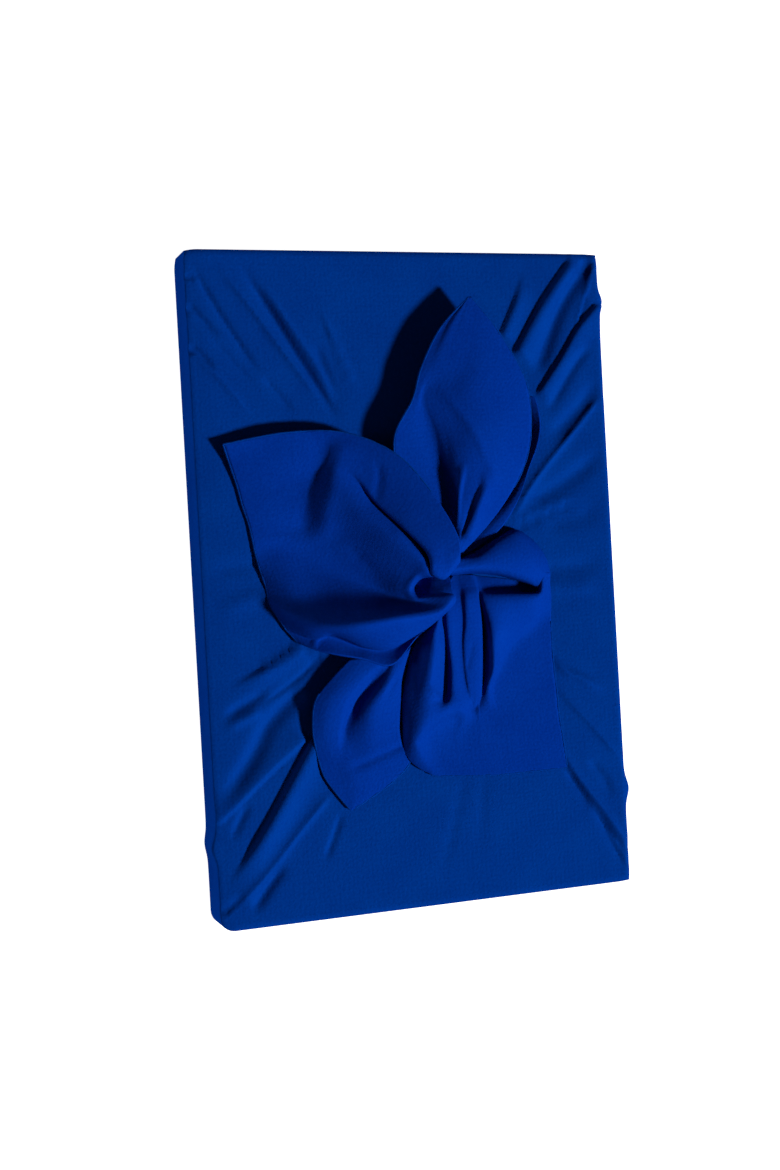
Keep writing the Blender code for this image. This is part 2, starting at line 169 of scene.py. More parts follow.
leftEnd = {
    "steps": (72, 84),
    "thickness": 0.7,
    "net": (
        # a row from the upper outline to the lower fold, rows from the knot to the hem: x, y, height
        ((17, 7.5, 12), (10.5, 4.5, 10), (4.5, 5.5, 10), (4.5, 6, 9), (4.5, 1.5, 11), (-2, 0, 9),
         (-5, -4, 8), (-2.5, -7, 9), (3.5, -7, 10), (11.5, -6.5, 11), (12.5, -10, 10), (11.5, -11.5, 9),
         (7, -14.5, 8)),
        ((15, 8.5, 20), (7, 0, 19.5), (0, 2, 20), (2, 3, 14), (0, 2, 19), (-6, 1.5, 17),
         (-9.5, -4.5, 15), (-7, -9, 15.5), (-0.5, -9, 17), (9.5, -9, 19.5), (11.5, -12, 18),
         (11.5, -14, 15), (8, -17.5, 13)),
        ((14, 20.5, 21), (6.5, 16, 21), (-1.5, 12.5, 21), (0, 12, 14), (-6.5, 10.5, 19.5),
         (-10.5, 3.5, 16), (-14.5, -4, 13), (-11, -10, 12), (-5, -13, 17), (1.5, -16.5, 21.5),
         (-4, -23.5, 17), (-3, -25, 11.5), (-6, -28, 11)),
        ((4.5, 39.5, 18), (-3, 33, 18), (-11, 24.5, 18), (-10, 24.5, 13), (-19, 22, 18),
         (-22, 11, 12.5), (-25, 0, 6.5), (-22, -8, 9), (-22, -15, 21.5), (-21.5, -19.5, 26),
         (-21.5, -31.5, 15.5), (-19, -33, 7), (-19.5, -41, 10)),
        ((-12, 60.5, 14), (-16, 48.5, 14), (-23, 38.5, 12.5), (-23.5, 37.5, 9.5), (-30.5, 31.5, 14),
         (-35, 18, 7.5), (-40.5, 6, 3), (-38.5, -5, 8.5), (-40, -15, 21.5), (-40, -21, 27),
         (-34.5, -30, 15), (-32, -32, 6), (-34.5, -37, 10.5)),
        ((-36.5, 72.5, 9), (-33, 65.5, 10), (-37.5, 57, 9.5), (-40.5, 52.5, 8.5), (-44, 41, 8),
         (-49.5, 25, 3.8), (-57, 12.5, 1.2), (-54.5, -3.5, 7.5), (-54.5, -12.5, 16), (-54, -20, 21.5),
         (-50, -23.5, 14.5), (-48, -25.5, 6), (-48, -34, 9.5)),
        ((-66, 73.5, 7.5), (-66.5, 63, 6), (-65.5, 50.5, 4), (-65.5, 44, 3.6), (-65, 36.5, 3.4),
         (-68, 25, 2), (-70.5, 16.5, 0.9), (-68, 1, 6.5), (-66.5, -8, 8.5), (-65, -16.5, 12.5),
         (-58.5, -24.5, 9), (-57.5, -26, 5), (-57.5, -31, 6)),
        ((-96, 69, 4.4), (-93, 60.5, 2), (-89.5, 49, 1), (-87.5, 40, 0.9), (-85, 31.5, 0.9),
         (-83.5, 23.5, 1), (-82.5, 17, 0.9), (-80.5, 8.5, 1), (-78, 0, 1), (-76.5, -8.5, 1.4),
         (-70, -19.5, 1.4), (-69.5, -20.5, 1.3), (-64, -27, 1.6)),
    ),
    "creases": (
        ("step", 3.4, 2.8, 11, 0.3, 0.35, ((-41.5, 72), (-43.5, 63), (-46, 54.5), (-49.5, 45))),
        ("step", 5.6, 5.8, 17, 0.4, 0.25,
         ((-44, 58.5), (-48, 49), (-51, 40.5), (-52.5, 31.5), (-51.5, 20.5))),
        ("soft", -1.1, 1.5, 1.5, 0.35, 0.3, ((-22, 60), (-21.5, 49), (-25, 37))),
        ("sharp", -1.3, 0.9, 1.0, 0.35, 0.35, ((-39, 19.5), (-31, 11), (-22, 2))),
        ("sharp", 1.2, 0.9, 1.5, 0.15, 0.1, ((-16, 26.5), (-15, 22), (-6, 12), (1, 4.5))),
        ("soft", 1.0, 1.2, 1.2, 0.3, 0.3, ((-58, -31), (-55, -25), (-50, -23))),
    ),
}

upperEnd = {
    "steps": (66, 50),
    "thickness": 0.7,
    "net": (
        # a row from the left outline to the right hem, rows from the knot to the tip
        ((12, 11, 13), (13.5, 11, 12.5), (14.5, 11, 12), (15.5, 11.5, 13), (16, 12, 14),
         (17, 11.5, 14), (18.5, 12, 13), (19.5, 12, 12.5)),
        ((8.5, 24, 9.5), (12, 24.5, 9), (14.5, 25, 10), (16.5, 25.5, 12.5), (19, 26, 14.5),
         (23, 25.5, 13.5), (27, 25, 14), (34, 25, 12.5)),
        ((-1, 39.5, 9), (6.5, 40, 9.5), (13.5, 40.5, 9.5), (16.5, 41.5, 12.5), (20, 41.5, 14.5),
         (26.5, 41, 15), (34, 39.5, 14.5), (46.5, 39, 11.5)),
        ((-11, 54.5, 10), (1, 55, 9.4), (11, 55.5, 8.4), (15, 56, 11.6), (19, 57, 14.6),
         (27, 56.5, 16), (38, 55.5, 15), (56, 53.5, 10.5)),
        ((-11.5, 71, 10.4), (-2, 71.5, 9.8), (7.5, 72.5, 9), (12, 73, 11.2), (18.5, 73.5, 13.5),
         (29, 72, 16), (42.5, 71, 14.5), (61, 70, 10)),
        ((-1.5, 88, 10.8), (1.5, 88.5, 10.8), (4, 89, 10.4), (7.5, 90, 11.2), (15, 89.5, 13),
         (27, 89, 15), (43, 90, 13.5), (61, 90, 10)),
        ((4, 103.5, 10.8), (7, 103.5, 11.4), (11, 104, 12), (17.5, 104.5, 12.6), (24.5, 104.5, 13),
         (34, 105, 13.5), (44, 105, 12.5), (56, 104, 10.5)),
        ((15, 122.5, 10.6), (17.5, 122.5, 11), (19.5, 122.5, 12), (23, 122.5, 12), (27, 123, 12),
         (32.5, 123, 11.8), (38, 123.5, 11.5), (44, 123.5, 11)),
        ((31, 138, 10), (31.5, 138, 10), (31.5, 138.5, 10), (32, 138.5, 10), (32, 138.5, 10),
         (32.5, 138.5, 10), (32.5, 138.5, 10), (32.5, 138, 10)),
    ),
    "creases": (
        ("soft", 0.9, 2.0, 1.6, 0.2, 0.2,
         ((10, 94), (16, 87), (23, 78), (29, 68), (32, 60), (37, 50), (40, 40))),
        ("soft", 1.6, 1.4, 1.6, 0.25, 0.1, ((23, 57), (20, 50), (18, 40), (17, 30), (16, 22))),
        ("rise", 3.4, 1.3, 5.0, 0.4, 0.05, ((30, 54), (30, 45), (26, 36), (22, 27), (18, 19))),
    ),
}

upperStrip = {
    "steps": (40, 8),
    "thickness": 0.6,
    "net": (
        # a row from under the upper end to the outer rim, rows from the knot to its top
        ((19.5, 11, 9), (21.5, 11.5, 9), (24, 11.5, 9)),
        ((33.5, 23, 6), (37, 22.5, 7), (42.5, 22.5, 7)),
        ((48, 37.5, 4), (51, 37, 6), (54, 37.5, 6.5)),
        ((57, 52.5, 3), (59, 53, 5), (61, 53.5, 6.5)),
        ((60.5, 62.5, 3), (62.5, 63.5, 5), (65.5, 64, 7.5)),
        ((61.5, 73, 3), (64.5, 73, 5.5), (67.5, 73.5, 8)),
        ((61.5, 82, 3.5), (64, 82.5, 6), (67, 83, 7.5)),
        ((61, 89, 5), (63.5, 89, 6.5), (65.5, 88.5, 7)),
    ),
    "creases": (),
}

rightEnd = {
    "steps": (74, 86),
    "thickness": 0.7,
    "net": (
        # a row from the left outline to the right hem, rows from under the band to the lower hem
        ((9.5, -10.5, 9), (10.5, -9.5, 10), (11.5, -7, 11), (13, -3.5, 9), (16, 0.5, 6), (18.5, 1, 5),
         (23.5, 1, 4.5), (27.5, 0.5, 4), (31, 0, 0.5), (38, -1, 0), (48, -2.5, 0), (60.5, -5.5, 0),
         (63.5, -0.5, 8), (69.5, -0.5, 5)),
        ((7.5, -15, 8.5), (8, -14.5, 10.3), (9, -13.5, 11.6), (11, -11, 9), (12.5, -8, 9.8),
         (18, -5.5, 8), (22, -5, 8), (27.5, -5, 7), (30.5, -5, 3.8), (35, -7, 3.2), (49, -8.5, 2),
         (62, -10, 0.8), (63.5, -6.5, 7.6), (69.5, -6.5, 4.3)),
        ((5.5, -20, 8), (5.5, -19.5, 10.5), (6, -19, 12), (8.5, -19, 9), (10.5, -16, 11),
         (18, -12, 9.5), (21, -11, 11), (27, -10.5, 9.5), (29.5, -9.5, 7), (31.5, -11, 9.5),
         (47, -11.5, 9.5), (58.5, -12, 9), (63.5, -12.5, 7), (70, -13, 3.6)),
        ((-1, -26, 6.5), (0.5, -26, 10.5), (3, -26, 13), (9, -26.5, 9), (10.5, -23.5, 11),
         (18.5, -22.5, 9.2), (21, -22.5, 10.4), (28.5, -23, 8.6), (31.5, -23, 4), (33.5, -23.5, 10.5),
         (45.5, -24.5, 8), (57, -25.5, 5), (62.5, -25.5, 3.6), (69.5, -25.5, 3)),
        ((-6.5, -34, 5.5), (-3, -35, 9.5), (2, -34, 13), (10, -34, 7.5), (11, -33, 10),
         (17.5, -33.5, 8.6), (20, -33.5, 9.4), (28.5, -34.5, 7.8), (31.5, -34.5, 3), (34, -34.5, 10),
         (40.5, -35.5, 7), (47.5, -36, 4.2), (58.5, -37, 3.2), (69.5, -37, 2.6)),
        ((-10, -45, 4.5), (-5.5, -45, 8), (0.5, -44.5, 12), (10.5, -45.5, 5), (12, -44.5, 8.8),
         (18, -45.5, 7.8), (20.5, -46, 8.4), (28, -46.5, 7), (31, -47, 3), (34, -47, 8.4),
         (37, -47, 6.2), (40.5, -47.5, 4), (54.5, -48.5, 3), (70, -49.5, 2.4)),
        ((-12.5, -56.5, 3.6), (-8, -57, 7), (-1, -54.5, 10.5), (9.5, -58, 3.8), (12, -54.5, 7.8),
         (19.5, -55.5, 6.5), (21.5, -55.5, 7), (27.5, -56.5, 6), (29.5, -57, 3.6), (31.5, -56.5, 6),
         (34.5, -57, 5), (37, -57, 3.6), (53.5, -58, 2.6), (71, -61.5, 2.2)),
        ((-13, -68, 2.6), (-9.5, -67, 6.2), (-3, -63.5, 9.3), (5, -64.5, 8), (13, -63.5, 7),
         (21, -67, 4.6), (25, -66, 3.8), (27, -66.5, 3.6), (28.5, -66.5, 3.2), (33, -67, 3),
         (36.5, -67, 2.8), (40, -67.5, 2.6), (55.5, -69, 2.4), (71.5, -73, 2.1)),
        ((-13, -79, 2.2), (-10.5, -78.5, 5.2), (-6.5, -78.5, 6.6), (1, -76.5, 5), (9.5, -76, 3.6),
         (19, -77, 2.6), (25, -77.5, 2.5), (28, -78, 2.5), (30.5, -78, 2.4), (37.5, -78.5, 2.3),
         (43.5, -79.5, 2.3), (50, -80, 2.2), (61.5, -81, 2.1), (73, -84.5, 2)),
        ((-11, -88, 2), (-8, -89, 3.2), (-4, -89, 3.8), (3, -89, 2.6), (10.5, -89, 2.3),
         (19.5, -89.5, 2.2), (25.5, -90, 2.2), (29, -90, 2.2), (31.5, -90, 2.2), (39, -90.5, 2.1),
         (46, -90.5, 2.1), (53.5, -90, 2), (64, -91, 2), (74, -93.5, 1.9)),
        ((-4, -94.5, 1.8), (-1, -96, 1.9), (3, -98, 2), (9, -98.5, 2), (15, -99, 2), (21, -99.5, 2),
         (27, -100, 2), (30.5, -100, 2), (33.5, -100.5, 2), (40.5, -100.5, 2), (46.5, -100.5, 2),
         (55, -100.5, 1.9), (65, -100.5, 1.9), (74.5, -100.5, 1.8)),
    ),
    "creases": (
        ("step", 1.4, 1.8, 9.0, 0.1, 0.15, ((-10, -81), (-2, -75), (7, -70), (14, -68), (20, -70))),
        ("sharp", -0.6, 0.8, 0.8, 0.2, 0.2, ((24, -32), (22, -39), (20, -47))),
        ("soft", 1.3, 1.4, 1.4, 0.3, 0.3, ((2, -52), (1, -55), (3, -58), (7, -58))),
        ("soft", -1.2, 1.4, 1.8, 0.3, 0.3, ((23, -62), (25, -66), (29, -60))),
    ),
}

rightBand = {
    "steps": (42, 34),
    "thickness": 0.7,
    "net": (
        # a row from behind the upper outline to under the lower edge, rows from the knot to the turn
        ((16, 7, 10), (15, 8.5, 16), (12.5, 5, 18), (10.5, 2, 17), (13.5, 1, 10)),
        ((28.5, 12, 8), (25.5, 9.5, 14), (23.5, 6, 16.5), (22, 3, 15.5), (25.5, 1.5, 8)),
        ((42, 18.5, 6), (38.5, 16, 12), (37.5, 9.5, 15), (36.5, 2, 14), (39, 0, 6)),
        ((52.5, 22, 3), (49.5, 19, 10), (48.5, 10.5, 13.5), (48.5, -1, 12), (50.5, -3, 4)),
        ((62.5, 16.5, 1), (58, 13.5, 9), (56.5, 6.5, 12), (56.5, -4, 9.5), (58.5, -5.5, 3)),
        ((69, 8, 1), (64.5, 6.5, 7.5), (62.5, 0.5, 9.5), (61, -6, 7), (61.5, -7, 3)),
        ((71.5, -1, 1), (69, -1, 5), (66.5, -3.5, 6.5), (63, -7, 6), (63, -8, 3)),
    ),
    "creases": (),
}

lowerEnd = {
    "steps": (50, 38),
    "thickness": 0.7,
    "net": (
        # a row from the left outline to under the right end, rows from under the left end to the tip
        ((-39.5, -37, 6), (-32.5, -37, 7), (-24.5, -39, 7), (-20, -41, 6), (-16, -38, 7),
         (-8.5, -33, 7)),
        ((-50, -46.5, 5.2), (-42, -46, 7), (-33, -46, 7), (-26, -48, 4.5), (-21, -49.5, 7),
         (-13, -47.5, 5)),
        ((-57.5, -55.5, 4.6), (-51, -56.5, 6.5), (-43, -57.5, 6), (-36, -59.5, 3), (-29, -60.5, 6.5),
         (-14, -59, 3.5)),
        ((-59.5, -67, 4), (-53.5, -68, 5.5), (-46, -69, 5), (-40.5, -70.5, 3), (-31, -71.5, 5.2),
         (-15, -72, 2.6)),
        ((-58.5, -78, 3), (-52, -79, 4), (-44.5, -80, 3.6), (-40, -80, 3.2), (-30, -80.5, 3.8),
         (-14, -80.5, 2)),
        ((-55, -91.5, 1.6), (-48.5, -91, 2.4), (-42, -91, 3.4), (-35, -91, 3.2), (-26, -90.5, 2.6),
         (-10, -89.5, 1.4)),
        ((-50, -100, 1.4), (-45.5, -100.5, 1.8), (-40, -101, 2.4), (-34.5, -101, 2.4),
         (-28.5, -101, 2), (-21, -99.5, 1.6)),
        ((-42.5, -110, 1.4), (-42, -110.5, 1.4), (-41.5, -110.5, 1.4), (-41, -110, 1.4),
         (-40, -110, 1.4), (-39.5, -109.5, 1.4)),
    ),
    "creases": (
        ("soft", -1.6, 2.8, 1.4, 0.2, 0.3,
         ((-22, -41), (-30, -49), (-38, -60), (-43, -69), (-45, -80), (-42, -83))),
        ("soft", -0.8, 1.6, 1.6, 0.1, 0.4, ((-12, -81), (-22, -84), (-34, -88), (-47, -92))),
        ("soft", -0.6, 1.4, 1.4, 0.2, 0.4, ((-15, -47), (-20, -53), (-22, -60))),
    ),
}

pocket = {
    "steps": (14, 18),
    "thickness": 0.6,
    "net": (
        # a row from left to right, rows from under the tongue to the rim
        ((-5, 2, 9), (-1, 2, 10), (3, 2, 12), (7, 1, 14), (11, 0, 15)),
        ((-6, -2, 8), (-2, -2, 10), (2, -2, 13), (7, -3, 15.5), (11, -3, 17)),
        ((-7, -5, 8), (-2, -6, 10.5), (2, -6, 14), (6, -6, 16.5), (11, -6, 18)),
        ((-7, -8, 9), (-3, -8, 12), (2, -8, 15), (6, -9, 17.5), (12, -9, 18.3)),
    ),
    "creases": (),
}

knotLump = {
    "centre": (4.0, 0.0, 2.5),
    "size": (10.0, 8.0, 6.0),
    "rings": 14,
    "segments": 30,
    "pleats": 7,
    "pleatDepth": 0.08,
    "pleatTwist": 2.0,
}

# Guessed layers between the box and the face, which never show: the upper and lower flaps, the
# side flaps and their folds at the corners. Without them the cloth has 0.40 of its flat area.
hiddenFlaps = (
    # low x, low y, high x, high y, height over the underside
    (-106.5, -160.5, 106.5, 1.0, 20.30),
    (-106.5, 3.0, 106.5, 160.5, 20.30),
    (-106.5, -160.5, -1.0, 160.5, 20.62),
    (1.0, -160.5, 106.5, 160.5, 20.62),
    (-106.5, 70.0, -10.0, 160.5, 20.94),
    (10.0, 70.0, 106.5, 160.5, 20.94),
    (-106.5, -160.5, -10.0, -70.0, 20.94),
    (10.0, -160.5, 106.5, -70.0, 20.94),
)
flapThickness = 0.18
flapSteps = 8
sheenWeaveStart = 5000.0  # the weave of the free ends is counted from here, so that the free ends can be told apart and take a painted sheen


def ease(share):
    share = np.clip(share, 0.0, 1.0)
    return share * share * (3.0 - 2.0 * share)


def creaseHeight(x, y, creases):
    total = np.zeros_like(x)
    for kind, height, leftWidth, rightWidth, fadeIn, fadeOut, line in creases:
        points = np.array(line, float)
        points = splineThrough(points, np.linspace(0, 1, 4 * len(points) - 3))  # four runs for one
        runs = points[1:] - points[:-1]
        lengths = np.hypot(runs[:, 0], runs[:, 1])
        best = np.full(x.shape, 1e9)
        along = np.zeros_like(x)
        side = np.zeros_like(x)
        start = 0.0
        for (px, py), (rx, ry), length in zip(points, runs, lengths):
            dx, dy = x - px, y - py
            share = np.clip((dx * rx + dy * ry) / length**2, 0.0, 1.0)
            gap = np.hypot(dx - share * rx, dy - share * ry)
            near = gap < best
            best = np.where(near, gap, best)
            along = np.where(near, start + share * length, along)
            side = np.where(near, rx * dy - ry * dx, side)
            start += length
        along = along / lengths.sum()
        fade = ease(along / fadeIn) * ease((1.0 - along) / fadeOut)
        if kind == "step":
            signed = np.where(side > 0, best, -best)
            lift = ease(0.5 + signed / (2.0 * leftWidth)) - 0.5
            shape = lift * np.exp(-((best / rightWidth) ** 2))
        elif kind == "rise":
            climb = (1.0 - np.exp(-best / leftWidth)) * np.exp(-((best / rightWidth) ** 2))
            shape = np.where(side > 0, climb, 0.0)
        else:
            share = best / np.where(side > 0, leftWidth, rightWidth)
            shape = np.exp(-share) if kind == "sharp" else np.exp(-(share**2))
        total += height * fade * shape
    return total


def splineThrough(values, places):
    # smooth curve through evenly spaced values, read at places from 0 to 1
    count = len(values)
    position = np.clip(places, 0.0, 1.0) * (count - 1)
    index = np.minimum(position.astype(int), count - 2)
    t = (position - index)[:, None]
    flat = values.reshape(count, -1)
    start, end = flat[index], flat[index + 1]
    before = flat[np.maximum(index - 1, 0)]
    after = flat[np.minimum(index + 2, count - 1)]
    slopeIn, slopeOut = (end - before) / 2, (after - start) / 2
    read = (
        start * (2 * t**3 - 3 * t**2 + 1)
        + slopeIn * (t**3 - 2 * t**2 + t)
        + end * (3 * t**2 - 2 * t**3)
        + slopeOut * (t**3 - t**2)
    )
    return read.reshape((len(places),) + values.shape[1:])


def surfaceGrid(end):
    # points of a free end's middle surface, rows from the knot outwards
    net = np.array(end["net"], float)
    stepsAlong, stepsAcross = end["steps"]
    rows = splineThrough(net, np.linspace(0, 1, stepsAlong + 1))
    columns = splineThrough(rows.transpose(1, 0, 2), np.linspace(0, 1, stepsAcross + 1))
    grid = columns.transpose(1, 0, 2)
    grid[..., 2] += creaseHeight(grid[..., 0], grid[..., 1], end["creases"])
    grid[..., 2] += faceZ
    return grid


class Cloth:
    # gathers the points, faces and weave coordinates of the whole cloth
    def __init__(self):
        self.points, self.weave, self.faces = [], [], []
        self.count = 0

    def addPoints(self, points, weave):
        first = self.count
        self.points.append(np.asarray(points, float).reshape(-1, 3))
        self.weave.append(np.asarray(weave, float).reshape(-1, 2))
        self.count += len(self.points[-1])
        return first + np.arange(len(self.points[-1]))

    def addQuads(self, a, b, c, d, flip=False):
        quads = np.stack([a, b, c, d], -1).reshape(-1, 4)
        self.faces.extend((quads[:, ::-1] if flip else quads).tolist())

    def addGridFaces(self, index, flip=False):
        self.addQuads(index[:-1, :-1], index[:-1, 1:], index[1:, 1:], index[1:, :-1], flip)

    def addLoopFaces(self, outer, inner, flip=False):
        self.addQuads(outer, np.roll(outer, -1), np.roll(inner, -1), inner, flip)

    def addThinSheet(self, grid, thickness, weaveStart=0.0):
        aheadOf, besideOf = np.gradient(grid, axis=0), np.gradient(grid, axis=1)
        normal = np.cross(besideOf, aheadOf)
        normal /= np.linalg.norm(normal, axis=-1, keepdims=True) + 1e-9
        flip = normal[..., 2].mean() < 0
        normal = -normal if flip else normal
        across = np.cumsum(np.linalg.norm(np.diff(grid, axis=1, prepend=grid[:, :1]), axis=-1), axis=1)
        along = np.cumsum(np.linalg.norm(np.diff(grid, axis=0, prepend=grid[:1]), axis=-1), axis=0)
        middle = grid.shape[1] // 2
        across = across - across[:, middle : middle + 1]
        along = along[:, middle : middle + 1] + 0 * along
        weave = np.stack([across, along], -1)
        weave[..., 0] += weaveStart
        upper = self.addPoints(grid + normal * thickness / 2, weave).reshape(grid.shape[:2])
        lower = self.addPoints(grid - normal * thickness / 2, weave).reshape(grid.shape[:2])
        self.addGridFaces(upper, flip)
        self.addGridFaces(lower, not flip)
        for edge, turn in ((0, False), (-1, True)):
            top, under = upper[edge], lower[edge]
            self.addQuads(top[1:], top[:-1], under[:-1], under[1:], flip != turn)
            top, under = upper[:, edge], lower[:, edge]
            self.addQuads(top[:-1], top[1:], under[1:], under[:-1], flip != turn)
        return grid

    def makeObject(self, name):
        points = np.concatenate(self.points) * mm
        weave = np.concatenate(self.weave)
        mesh = bpy.data.meshes.new(name)
        mesh.from_pydata(points.tolist(), [], self.faces)
        layer = mesh.uv_layers.new(name="weave")
        corners = np.empty(len(mesh.loops), int)
        mesh.loops.foreach_get("vertex_index", corners)
        layer.data.foreach_set("uv", (weave[corners] * mm).ravel())
        mesh.polygons.foreach_set("use_smooth", np.ones(len(mesh.polygons), bool))
        obj = bpy.data.objects.new(name, mesh)
        bpy.context.scene.collection.objects.link(obj)
        return obj


def faceRelief(x, y):
    # height of the cloth over the flat face, with the gather that rises to the knot
    height = creaseHeight(x, y, faceCreases)
    dx, dy = x - gather["centre"][0], y - gather["centre"][1]
    distance = np.hypot(dx, dy)
    height += gather["rise"] * np.exp(-((distance / gather["reach"]) ** 2))
    pleats = np.cos(gather["pleats"] * np.arctan2(dy, dx) + gather["pleatTurn"])
    swell = np.exp(-((distance / gather["pleatReach"]) ** 2)) * ease(distance / gather["pleatStart"])
    height += gather["pleatDepth"] * pleats * swell
    reach = wrap["leftDroopReach"]
    height -= wrap["leftDroop"] * np.clip((reach - wrap["width"] / 2 - x) / reach, 0, 1) ** 2
    return np.maximum(height, -wrap["deepest"])


def crowdedLine(half, corner, cornerSteps):
    # places from -half to half, wider apart under the tie and closer at each end
    hidden = wrap["hiddenHalf"]
    middleSteps = int(2 * hidden / wrap["hiddenPitch"])
    outerSteps = int((half - corner - hidden) / wrap["pitch"])
    middle = np.linspace(-hidden, hidden, middleSteps + 1)
    outer = np.linspace(hidden, half - corner, outerSteps + 1)[1:]
    high = np.concatenate([outer, np.linspace(half - corner, half, cornerSteps + 1)[1:]])
    return np.concatenate([-high[::-1], middle, high])


def cornerShare(x, y):
    # how round the corner nearest to each place is
    lowLeft, highLeft, lowRight, highRight = wrap["cornerShares"]
    right, left = np.where(y > 0, highRight, lowRight), np.where(y > 0, highLeft, lowLeft)
    return np.where(x > 0, right, left)


def roundCorners(x, y, halfX, halfY, radius):
    # squares of the grid at each corner are pulled in to a round one, by its own share
    overX = np.clip((np.abs(x) - (halfX - radius)) / radius, 0, 1)
    overY = np.clip((np.abs(y) - (halfY - radius)) / radius, 0, 1)
    pull = radius * cornerShare(x, y)
    newX = x - np.sign(x) * pull * overX * (1 - np.sqrt(1 - overY**2 / 2))
    newY = y - np.sign(y) * pull * overY * (1 - np.sqrt(1 - overX**2 / 2))
    return newX, newY


def gridRim(index):
    # the outline of a grid of points, counter-clockwise seen from above
    return np.concatenate([index[0, :-1], index[:-1, -1], index[-1, :0:-1], index[:0:-1, 0]])


def makeBody(cloth):
    edge, corner = wrap["edgeRadius"], wrap["cornerRadius"]
    halfX, halfY = wrap["width"] / 2 - edge, wrap["length"] / 2 - edge
    lineX = crowdedLine(halfX, corner, wrap["cornerSteps"])
    lineY = crowdedLine(halfY, corner, wrap["cornerSteps"])
    flatX, flatY = np.meshgrid(lineX, lineY)
    x, y = roundCorners(flatX, flatY, halfX, halfY, corner)
    relief = faceRelief(x, y)
    face = np.stack([x, y, faceZ + relief], -1)
    index = cloth.addPoints(face, face[..., :2]).reshape(x.shape)
    cloth.addGridFaces(index)

    rim = gridRim(index)
    rimX, rimY, rimRelief = (gridRim(values) for values in (x, y, relief))
    straightX, straightY = halfX - corner, halfY - corner
    outX = np.where(np.abs(rimX) >= straightX, rimX - np.sign(rimX) * straightX, 0)
    outY = np.where(np.abs(rimY) >= straightY, rimY - np.sign(rimY) * straightY, 0)
    outX = np.where(np.abs(rimY) < straightY, np.sign(rimX), outX)
    outY = np.where(np.abs(rimX) < straightX, np.sign(rimY), outY)
    length = np.hypot(outX, outY)
    outX, outY = outX / length, outY / length
    mitre = 1.0 / np.maximum(np.abs(outX), np.abs(outY))
    mitre = 1.0 + (mitre - 1.0) * (1.0 - cornerShare(rimX, rimY))
    power = 1.0 - (1.0 - wrap["leftBoxiness"]) * ease((-outX - 0.5) / 0.45)
    bulge = np.zeros_like(rimX)
    for side, place, halfLength, height in edgeBulges:
        bulge += np.where(side * outX > 0.9, height * np.exp(-(((rimY - place) / halfLength) ** 2)), 0)

    back = wrap["backRadius"]
    profile = []  # how far out, height, share of the face's relief, share of the bulges
    for step in range(1, wrap["roundSteps"] + 1):
        angle = math.pi / 2 * step / wrap["roundSteps"]
        high = faceZ - edge * (1 - max(math.cos(angle), 0.0) ** power)
        profile.append((edge * math.sin(angle) ** power, high, math.cos(angle) ** 0.5, math.sin(angle)))
    for step in range(1, wrap["sideSteps"]):
        share = step / wrap["sideSteps"]
        profile.append((edge, (faceZ - edge) * (1 - share) + back * share, 0.0, 1.0 - 0.5 * share))
    for step in range(wrap["roundSteps"] + 1):
        angle = math.pi / 2 * step / wrap["roundSteps"]
        out, high = edge - back * (1 - math.cos(angle)), back * (1 - math.sin(angle))
        profile.append((out, high, 0.0, 0.5 * math.cos(angle)))
    previous, down = rim, 0.0
    for out, z, reliefShare, bulgeShare in profile:
        down += wrap["weaveStep"]
        push = (out + bulge * bulgeShare) * mitre
        points = np.stack([rimX + outX * push, rimY + outY * push, z + rimRelief * reliefShare], -1)
        loop = cloth.addPoints(points, np.stack([rimX + outX * down, rimY + outY * down], -1))
        cloth.addLoopFaces(loop, previous)
        previous = loop
    for share in wrap["backLoops"]:
        points = np.stack([rimX * share, rimY * share, 0 * rimX], -1)
        loop = cloth.addPoints(points, points[:, :2])
        cloth.addLoopFaces(loop, previous)
        previous = loop
    cloth.faces.append(previous[::-1].tolist())


def makeInside(cloth):
    # the inner side of the cloth around the box, facing in
    sheet = wrap["sheet"]
    halfX, halfY = wrap["width"] / 2 - sheet, wrap["length"] / 2 - sheet
    low, high = sheet, faceZ - wrap["deepest"] - sheet
    stepsX, stepsY = wrap["insideSteps"]
    x, y = np.meshgrid(np.linspace(-halfX, halfX, stepsX + 1), np.linspace(-halfY, halfY, stepsY + 1))
    x, y = roundCorners(x, y, halfX, halfY, halfX / 6)
    x, y = np.clip(x, -halfX, halfX), np.clip(y, -halfY, halfY)
    layers = []
    for z in (high, low):
        layer = np.stack([x, y, z + 0 * x], -1)
        layers.append(cloth.addPoints(layer, layer[..., :2]).reshape(x.shape))
    cloth.addGridFaces(layers[0], True)
    cloth.addGridFaces(layers[1])
    cloth.addLoopFaces(gridRim(layers[0]), gridRim(layers[1]))


def makeHiddenFlaps(cloth):
    for lowX, lowY, highX, highY, z in hiddenFlaps:
        lineX, lineY = np.linspace(lowX, highX, flapSteps + 1), np.linspace(lowY, highY, flapSteps + 1)
        x, y = np.meshgrid(lineX, lineY)
        cloth.addThinSheet(np.stack([x, y, z + 0 * x], -1), flapThickness)


